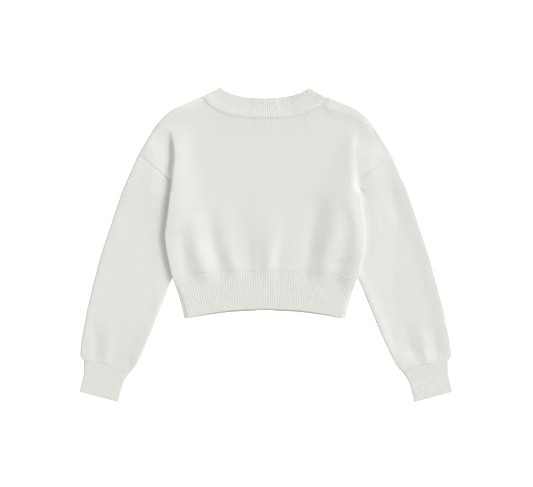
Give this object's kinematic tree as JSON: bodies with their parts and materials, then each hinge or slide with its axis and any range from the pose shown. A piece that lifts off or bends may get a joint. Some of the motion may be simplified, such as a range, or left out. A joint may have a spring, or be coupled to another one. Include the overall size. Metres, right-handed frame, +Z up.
{
  "type": "cropped cardigan",
  "caption": "Cropped long-sleeved knit cardigan with ribbed hem, cuffs and neckband, buttoned and laid flat on its front, its plain back upwards.",
  "frame": {"origin": "under the middle of the garment's outline, on the surface that it lies on", "axes": "+Z up off the surface, through the front and then the back; +Y towards the neck; +X towards the wearer's right sleeve"},
  "size_m": [0.7445, 0.6255, 0.0139],
  "materials": {
    "knit_body": "off-white fine plain knit, soft and slightly fuzzy",
    "knit_rib": "off-white one by one rib knit",
    "button": "off-white, softly glossy"
  },
  "bodies": {
    "root": {"back": "knit_body", "front_left": "knit_body", "front_right": "knit_body", "sleeve_left": "knit_body", "sleeve_right": "knit_body", "cuff_left": "knit_rib", "cuff_right": "knit_rib", "hem_back": "knit_rib", "hem_front_left": "knit_rib", "hem_front_right": "knit_rib", "neckband": "knit_rib", "button_band": "knit_rib", "buttonhole_band": "knit_rib", "button_1": "button", "button_2": "button", "button_3": "button", "button_4": "button", "button_5": "button", "button_6": "button"}
  },
  "joints": []
}
